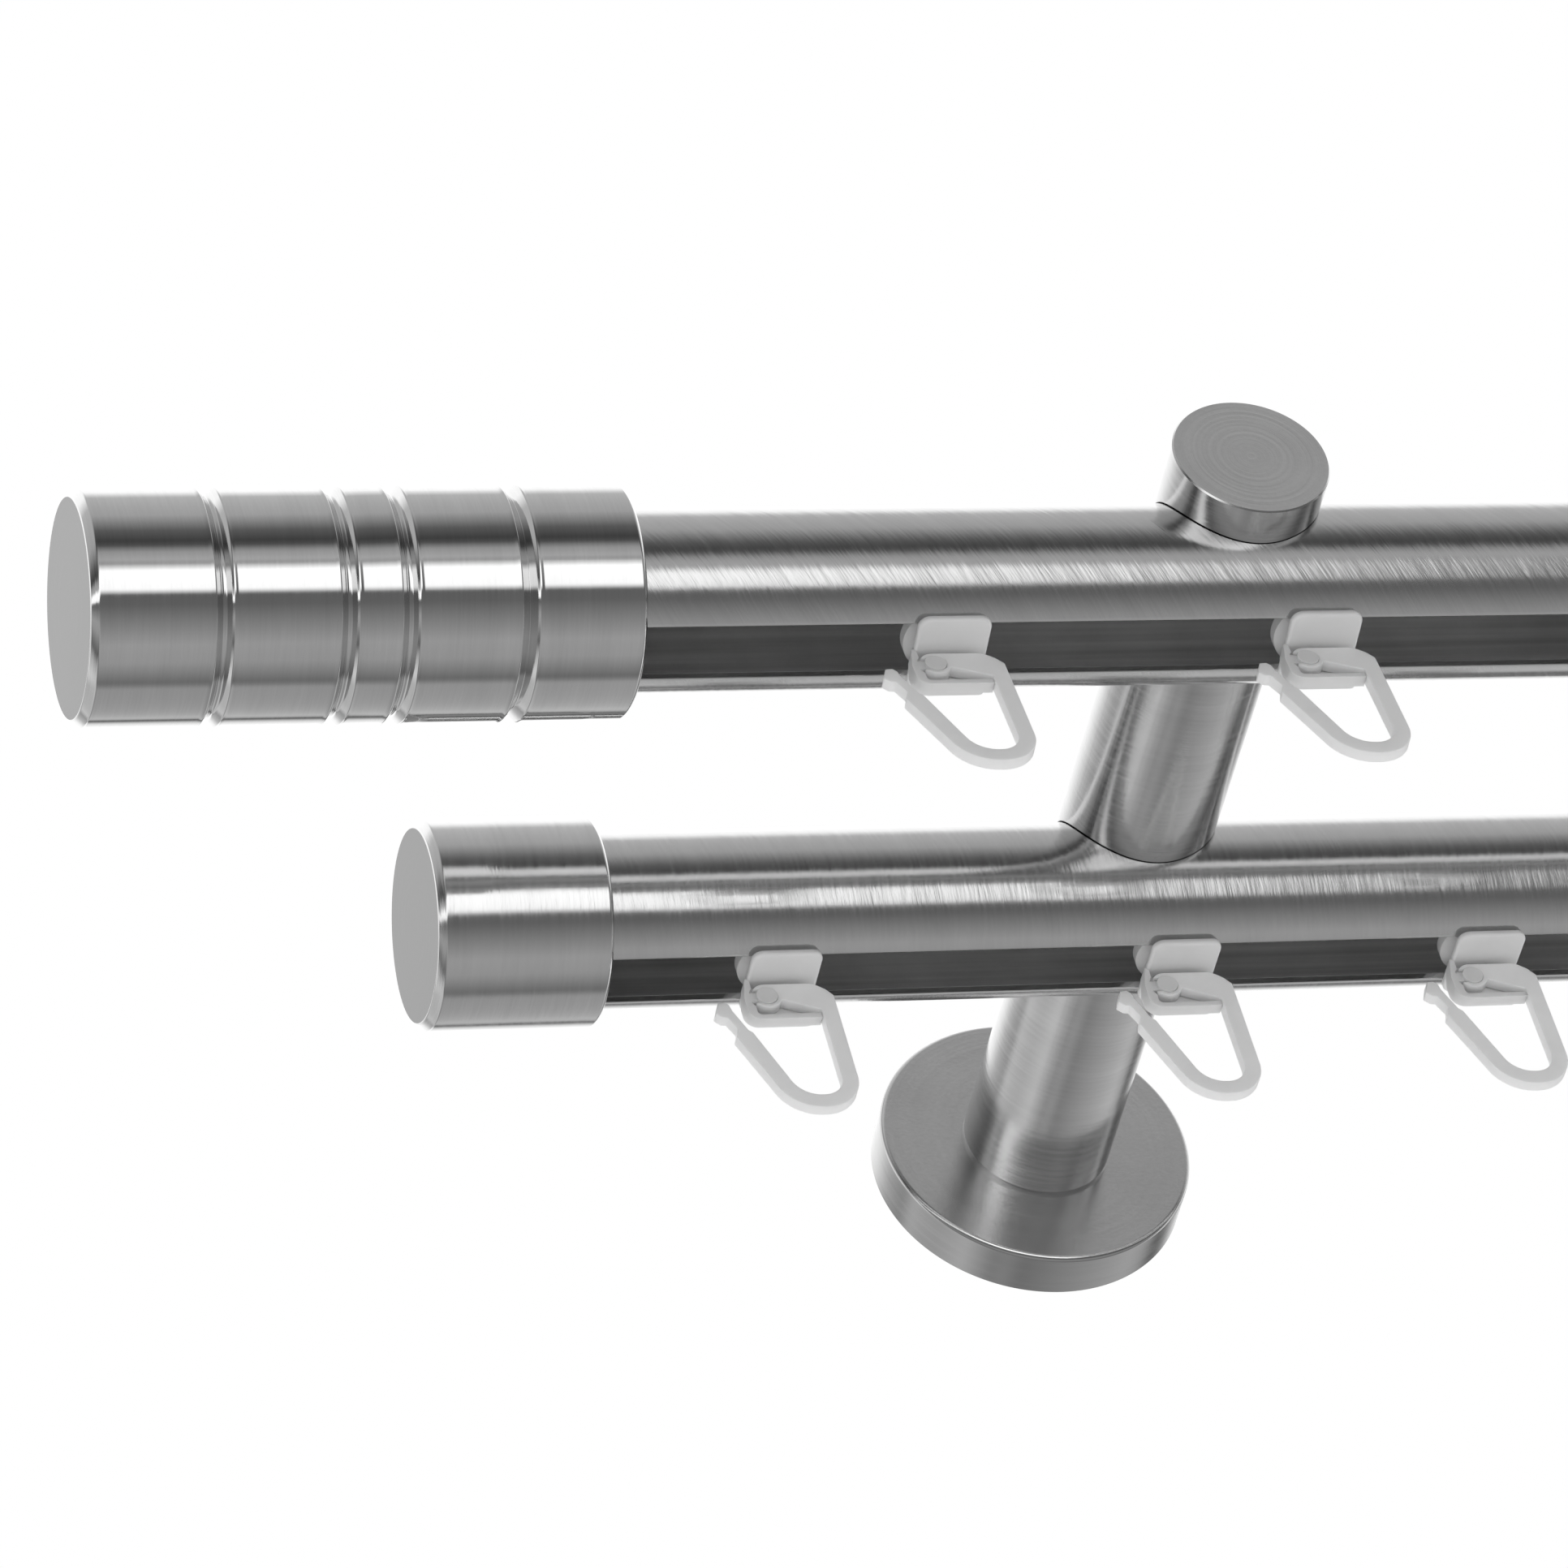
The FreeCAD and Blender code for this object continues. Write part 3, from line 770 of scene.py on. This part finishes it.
class CURTAIN_OT_runners(bpy.types.Operator):
    """Make the moulded runners"""
    bl_idname = "curtain.runners"
    bl_label = "Runners"

    def execute(self, context):
        look = context.scene.curtain_runners
        plastic = moulded_plastic("runner moulding", look.runner, look.roughness)
        finish_mouldings("runner", plastic, look.soft)
        return {"FINISHED"}


class CURTAIN_OT_hooks(bpy.types.Operator):
    """Make the moulded curtain hooks"""
    bl_idname = "curtain.hooks"
    bl_label = "Hooks"

    def execute(self, context):
        look = context.scene.curtain_runners
        # The hooks take the pale plastic made paler: painted light.
        plastic = moulded_plastic("hook moulding with painted light", look.hook, look.roughness)
        finish_mouldings("hook", plastic, look.soft)
        return {"FINISHED"}


class CURTAIN_OT_stage(bpy.types.Operator):
    """Set up the camera, the pale floor and the soft studio light"""
    bl_idname = "curtain.stage"
    bl_label = "Stage"

    def band(self, studio, turns, stops):
        """Brightness round one axis, from (degrees, grey) stops."""
        ramp = studio.node("ShaderNodeValToRGB", {"Fac": turns})
        ramp.color_ramp.interpolation = "LINEAR"
        marks = ramp.color_ramp.elements
        while len(marks) < len(stops):
            marks.new(0.5)
        for mark, (degrees, grey) in zip(marks, stops):
            mark.position = (degrees + 180) / 360
            mark.color = (grey, grey, grey, 1)
        return ramp.outputs["Color"]

    def light(self, world, backdrop):
        """Banded studio light, which the camera sees as plain white."""
        world.use_nodes = True
        world.node_tree.nodes.clear()
        studio = Tree(world.node_tree)
        x, y, z = studio.split(studio.node("ShaderNodeTexCoord").outputs["Generated"])

        def turns(side):
            """Angle from the side's direction towards +Z, from 0 to 1 for -180 to 180 degrees."""
            return studio.math("ADD", studio.math("DIVIDE", studio.math("ARCTAN2", z, side), math.tau), 0.5)

        softbox = studio.math("MULTIPLY", self.band(studio, turns(y), SOFTBOX_BAND),
                              studio.remap(x, 1.0, 0.0, *SOFTBOX_FADE, kind="SMOOTHSTEP"))
        across = studio.mix(softbox, self.band(studio, turns(y), ACROSS_BANDS), SOFTBOX_LIGHT, blend="ADD")
        wallward = studio.remap(y, 0.0, 1.0, *WALL_FADE, kind="SMOOTHSTEP")
        colour_seen = studio.mix(wallward, across, self.band(studio, turns(x), ALONG_BANDS))
        light = studio.node("ShaderNodeBackground", {"Color": colour_seen, "Strength": WORLD_STRENGTH})
        behind = studio.node("ShaderNodeBackground", {"Color": (1, 1, 1, 1), "Strength": backdrop})
        seen = studio.node("ShaderNodeLightPath").outputs["Is Camera Ray"]
        chosen = studio.node("ShaderNodeMixShader", {0: seen, 1: light.outputs[0], 2: behind.outputs[0]})
        studio.node("ShaderNodeOutputWorld", {"Surface": chosen.outputs[0]})

    def execute(self, context):
        scene = context.scene
        look = scene.curtain_stage
        scene.view_settings.view_transform = "Standard"
        scene.world = bpy.data.worlds.new("Studio")
        self.light(scene.world, look.backdrop)
        bm = bmesh.new()
        bmesh.ops.create_circle(bm, cap_ends=True, segments=look.floor_steps, radius=look.floor_radius,
                                matrix=Matrix.Translation((0, 0, look.floor_height)))
        floor = linked(bm, "pale_floor")
        paint = Shader("Pale floor")
        paint.tint(paint.noise(paint.place, 40.0), look.floor, 0.02)
        paint.surface({"Roughness": 0.8})
        floor.data.materials.append(paint.material)
        floor.visible_glossy = False
        camera = bpy.data.objects.new("camera", bpy.data.cameras.new("camera"))
        camera.data.sensor_width = look.sensor
        camera.data.lens = look.lens
        camera.data.clip_start = look.view_start
        camera.data.clip_end = look.view_end
        turn = Matrix((CAMERA_RIGHT, CAMERA_UP, [-value for value in CAMERA_FORWARD])).transposed()
        camera.matrix_world = Matrix.Translation(CAMERA_PLACE) @ turn.to_4x4()
        scene.collection.objects.link(camera)
        scene.camera = camera
        return {"FINISHED"}


class CURTAIN_PT_panel(bpy.types.Panel):
    """Lists the steps that dress the curtain pole"""
    bl_idname = "CURTAIN_PT_panel"
    bl_label = "Curtain pole"
    bl_space_type = "VIEW_3D"
    bl_region_type = "UI"
    bl_category = "Curtain pole"

    def draw(self, context):
        for name in STEPS:
            self.layout.operator("curtain." + name)


STEPS = ("stage", "poles", "ends", "arms", "rosettes", "studs", "screws", "runners", "hooks")
SETTINGS = {"curtain_poles": PoleSettings, "curtain_ends": EndSettings, "curtain_brackets": BracketSettings,
            "curtain_screws": ScrewSettings, "curtain_runners": RunnerSettings,
            "curtain_stage": StageSettings}
CLASSES = (*SETTINGS.values(), CURTAIN_OT_stage, CURTAIN_OT_poles, CURTAIN_OT_ends, CURTAIN_OT_arms,
           CURTAIN_OT_rosettes, CURTAIN_OT_studs, CURTAIN_OT_screws, CURTAIN_OT_runners, CURTAIN_OT_hooks,
           CURTAIN_PT_panel)


def register():
    for item in CLASSES:
        bpy.utils.register_class(item)
    for name, group in SETTINGS.items():
        setattr(bpy.types.Scene, name, PointerProperty(type=group))


def unregister():
    for name in SETTINGS:
        delattr(bpy.types.Scene, name)
    for item in reversed(CLASSES):
        bpy.utils.unregister_class(item)


def main():
    register()
    for name in STEPS:
        getattr(bpy.ops.curtain, name)()
    bpy.context.view_layer.update()


if __name__ == "__main__":
    main()
